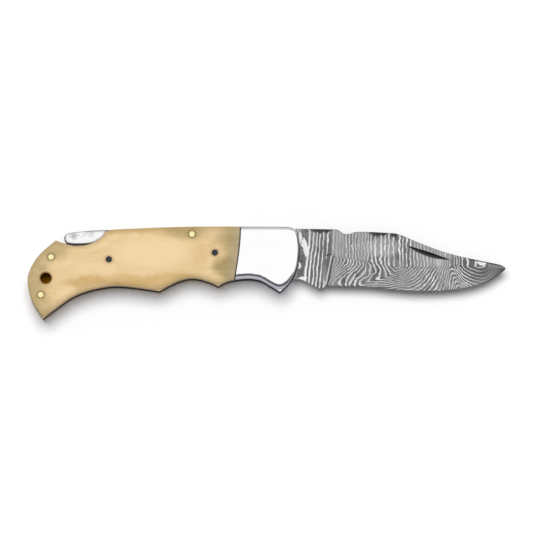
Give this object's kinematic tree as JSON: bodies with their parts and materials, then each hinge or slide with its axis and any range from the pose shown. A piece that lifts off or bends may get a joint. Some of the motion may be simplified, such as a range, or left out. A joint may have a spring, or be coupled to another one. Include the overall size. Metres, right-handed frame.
{
  "type": "folding pocket knife",
  "caption": "Lock-back folding pocket knife, shown open: clip-point damascus-pattern blade, polished steel bolsters, bone scales and a thumb lever at the spine.",
  "frame": {"origin": "middle of the bottom of the open knife's box, on the plane that its far side rests on", "axes": "+X along the knife towards the tip, +Y across it towards the spine, +Z through it from the far side to the near side, which carries the nail nick"},
  "size_m": [0.1778, 0.0344, 0.012],
  "materials": {
    "bone": "polished natural bone, cream to olive tan",
    "bolster_steel": "mirror polished steel",
    "liner_steel": "satin steel",
    "lever_steel": "polished steel with fine scratches",
    "damascus_steel": "etched layered steel, light and dark wavy lines",
    "brass": "polished brass",
    "dark_steel": "blue-black steel"
  },
  "bodies": {
    "handle": {"near_scale": "bone", "far_scale": "bone", "near_bolster": "bolster_steel", "far_bolster": "bolster_steel", "near_liner": "liner_steel", "far_liner": "liner_steel", "near_washer": "brass", "far_washer": "brass", "near_rear_rivet": "dark_steel", "far_rear_rivet": "dark_steel", "near_front_rivet": "dark_steel", "far_front_rivet": "dark_steel", "near_bolster_pin": "bolster_steel", "far_bolster_pin": "bolster_steel", "rear_spacer": "liner_steel", "upper_tail_pin": "brass", "lower_tail_pin": "brass", "lock_bar_pin": "brass", "pivot_pin": "bolster_steel"},
    "blade": {"blade": "damascus_steel"},
    "lock_bar": {"lock_bar": "lever_steel"},
    "lock_spring": {"lock_spring": "liner_steel"}
  },
  "joints": [
    {"name": "blade_fold", "type": "hinge", "parent": "handle", "child": "blade", "pos_m": [0.0068, 0.00371, 0.006], "axis": [0, 0, -1], "range_deg": [0, 173]},
    {"name": "lock_bar_rock", "type": "hinge", "parent": "handle", "child": "lock_bar", "pos_m": [-0.0278, 0.01421, 0.006], "axis": [0, 0, 1], "range_deg": [-1.8, 0], "stiffness_Nm_per_rad": 0.3, "springref_deg": -8.59},
    {"name": "lock_spring_flex", "type": "hinge", "parent": "handle", "child": "lock_spring", "pos_m": [-0.0786, 0.00871, 0.006], "axis": [0, 0, 1], "range_deg": [0, 2.4]}
  ],
  "couplings": [
    {"joint": "lock_spring_flex", "follows": "lock_bar_rock", "ratio": -1.29}
  ]
}
